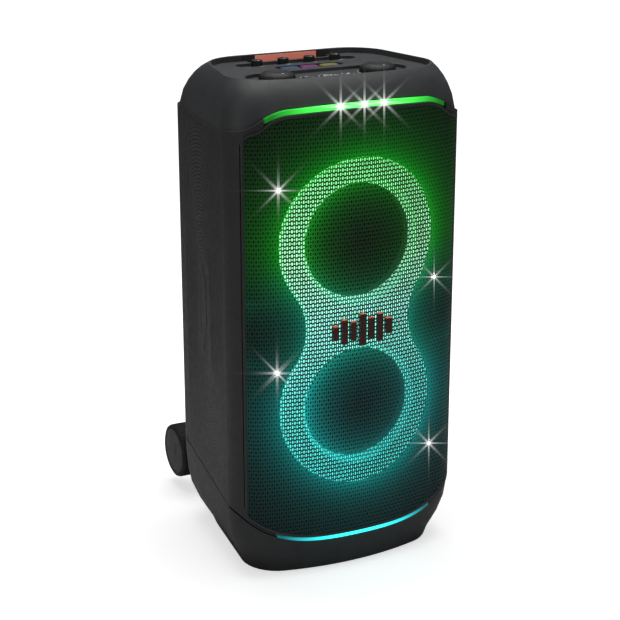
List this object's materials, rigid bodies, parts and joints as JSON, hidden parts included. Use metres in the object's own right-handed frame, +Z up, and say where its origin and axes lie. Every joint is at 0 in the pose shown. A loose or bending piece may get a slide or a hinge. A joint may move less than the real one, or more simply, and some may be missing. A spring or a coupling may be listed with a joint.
{
  "type": "party speaker",
  "caption": "Tall wheeled party speaker with a figure-eight light ring behind a perforated grille, a recessed control deck and a telescopic handle.",
  "frame": {"origin": "on the floor, under the middle of the cabinet", "axes": "+Z up, -Y towards the front with the grille, +X to the right seen from the front"},
  "size_m": [0.3338, 0.3991, 0.67],
  "materials": {
    "charcoal_plastic": "fine textured moulded plastic",
    "cap_plastic": "satin moulded plastic",
    "black_plastic": "moulded plastic",
    "knob_rubber": "soft-touch rubber",
    "rubber": "matte rubber",
    "grille_metal": "powder-coated perforated steel",
    "badge_finish": "satin dark copper paint",
    "light_diffuser": "lit translucent diffuser",
    "green_light": "lit translucent diffuser",
    "cyan_light": "lit translucent diffuser",
    "white_light": "clear lens over white light",
    "circuit_board": "solder-masked board",
    "basket_steel": "black painted steel",
    "magnet_steel": "plated steel",
    "cone_paper": "coated paper cone",
    "spider_cloth": "resin-treated cloth",
    "screw_steel": "zinc-plated steel",
    "tube_aluminium": "satin anodised",
    "battery_case": "moulded plastic",
    "orange_rubber": "soft-touch rubber",
    "blue_pad": "translucent pad lit from below",
    "pink_pad": "translucent pad lit from below",
    "yellow_pad": "translucent pad lit from below",
    "wheel_plastic": "moulded wheel with soft tread"
  },
  "bodies": {
    "cabinet": {"cabinet_shell": "charcoal_plastic", "front_baffle": "black_plastic", "base_shell": "charcoal_plastic", "rubber_feet": "rubber", "top_cap": "cap_plastic", "control_panel": "cap_plastic", "front_grille": "grille_metal", "badge": "badge_finish", "side_inlays": "charcoal_plastic", "light_ring": "light_diffuser", "ring_light_board": "circuit_board", "top_light_bar": "green_light", "bottom_light_bar": "cyan_light", "strobe_lights": "white_light", "upper_woofer_basket": "basket_steel", "upper_woofer_magnet": "magnet_steel", "upper_woofer_surround": "rubber", "upper_woofer_spider": "spider_cloth", "lower_woofer_basket": "basket_steel", "lower_woofer_magnet": "magnet_steel", "lower_woofer_surround": "rubber", "lower_woofer_spider": "spider_cloth", "screws": "screw_steel", "tweeter_horns": "black_plastic", "tweeter_domes": "spider_cloth", "tweeter_motors": "magnet_steel", "port_tube": "black_plastic", "io_panel": "black_plastic", "input_jacks": "magnet_steel", "mains_inlet": "black_plastic", "battery_bay": "black_plastic", "battery_pack": "battery_case", "amplifier_board": "circuit_board", "heat_sink": "tube_aluminium", "control_board": "circuit_board", "handle_sleeves": "tube_aluminium", "wheel_carrier": "charcoal_plastic", "wheel_axle": "screw_steel"},
    "upper_cone": {"upper_woofer_cone": "cone_paper"},
    "lower_cone": {"lower_woofer_cone": "cone_paper"},
    "mic_volume_knob": {"mic_volume_knob": "knob_rubber"},
    "echo_knob": {"echo_knob": "knob_rubber"},
    "bass_knob": {"bass_knob": "knob_rubber"},
    "treble_knob": {"treble_knob": "knob_rubber"},
    "volume_dial": {"volume_dial": "knob_rubber"},
    "light_dial": {"light_dial": "knob_rubber"},
    "power_button": {"power_button": "cap_plastic"},
    "pairing_button": {"pairing_button": "cap_plastic"},
    "play_button": {"play_button": "cap_plastic"},
    "effect_pad_blue": {"effect_pad_blue": "blue_pad"},
    "effect_pad_pink": {"effect_pad_pink": "pink_pad"},
    "effect_pad_yellow": {"effect_pad_yellow": "yellow_pad"},
    "handle_middle": {"handle_middle_tubes": "tube_aluminium"},
    "handle_top": {"handle_inner_tubes": "tube_aluminium", "handle_grip": "charcoal_plastic", "handle_pad": "orange_rubber"},
    "handle_button": {"handle_button": "cap_plastic"},
    "battery_door": {"battery_door": "charcoal_plastic"},
    "left_wheel": {"left_wheel": "wheel_plastic"},
    "right_wheel": {"right_wheel": "wheel_plastic"}
  },
  "joints": [
    {"name": "upper_cone_stroke", "type": "slide", "parent": "cabinet", "child": "upper_cone", "axis": [0, -1, 0], "range_m": [-0.004, 0.004], "deforming": ["upper_woofer_surround", "upper_woofer_spider"]},
    {"name": "lower_cone_stroke", "type": "slide", "parent": "cabinet", "child": "lower_cone", "axis": [0, -1, 0], "range_m": [-0.004, 0.004], "deforming": ["lower_woofer_surround", "lower_woofer_spider"]},
    {"name": "mic_volume_knob_turn", "type": "hinge", "parent": "cabinet", "child": "mic_volume_knob", "pos_m": [-0.058, 0.044, 0.66], "axis": [0, 0, 1], "range_deg": [-150, 150]},
    {"name": "echo_knob_turn", "type": "hinge", "parent": "cabinet", "child": "echo_knob", "pos_m": [-0.0195, 0.044, 0.66], "axis": [0, 0, 1], "range_deg": [-150, 150]},
    {"name": "bass_knob_turn", "type": "hinge", "parent": "cabinet", "child": "bass_knob", "pos_m": [0.0195, 0.044, 0.66], "axis": [0, 0, 1], "range_deg": [-150, 150]},
    {"name": "treble_knob_turn", "type": "hinge", "parent": "cabinet", "child": "treble_knob", "pos_m": [0.058, 0.044, 0.66], "axis": [0, 0, 1], "range_deg": [-150, 150]},
    {"name": "volume_dial_turn", "type": "hinge", "parent": "cabinet", "child": "volume_dial", "pos_m": [0.073, -0.05, 0.66], "axis": [0, 0, 1], "continuous": true},
    {"name": "light_dial_turn", "type": "hinge", "parent": "cabinet", "child": "light_dial", "pos_m": [-0.073, -0.05, 0.66], "axis": [0, 0, 1], "continuous": true},
    {"name": "power_button_press", "type": "slide", "parent": "cabinet", "child": "power_button", "axis": [0, 0, -1], "range_m": [0, 0.0008]},
    {"name": "pairing_button_press", "type": "slide", "parent": "cabinet", "child": "pairing_button", "axis": [0, 0, -1], "range_m": [0, 0.0008]},
    {"name": "play_button_press", "type": "slide", "parent": "cabinet", "child": "play_button", "axis": [0, 0, -1], "range_m": [0, 0.0008]},
    {"name": "effect_pad_blue_press", "type": "slide", "parent": "cabinet", "child": "effect_pad_blue", "axis": [0, 0, -1], "range_m": [0, 0.001]},
    {"name": "effect_pad_pink_press", "type": "slide", "parent": "cabinet", "child": "effect_pad_pink", "axis": [0, 0, -1], "range_m": [0, 0.001]},
    {"name": "effect_pad_yellow_press", "type": "slide", "parent": "cabinet", "child": "effect_pad_yellow", "axis": [0, 0, -1], "range_m": [0, 0.001]},
    {"name": "handle_lower_stage", "type": "slide", "parent": "cabinet", "child": "handle_middle", "axis": [0, 0, 1], "range_m": [0, 0.19]},
    {"name": "handle_upper_stage", "type": "slide", "parent": "handle_middle", "child": "handle_top", "axis": [0, 0, 1], "range_m": [0, 0.19]},
    {"name": "handle_button_press", "type": "slide", "parent": "handle_top", "child": "handle_button", "axis": [0, -1, 0], "range_m": [0, 0.003]},
    {"name": "battery_door_swing", "type": "hinge", "parent": "cabinet", "child": "battery_door", "pos_m": [0, 0.13, 0.144], "axis": [-1, 0, 0], "range_deg": [0, 90]},
    {"name": "left_wheel_spin", "type": "hinge", "parent": "cabinet", "child": "left_wheel", "pos_m": [-0.113, 0.206, 0.059], "axis": [1, 0, 0], "continuous": true},
    {"name": "right_wheel_spin", "type": "hinge", "parent": "cabinet", "child": "right_wheel", "pos_m": [0.113, 0.206, 0.059], "axis": [1, 0, 0], "continuous": true}
  ]
}
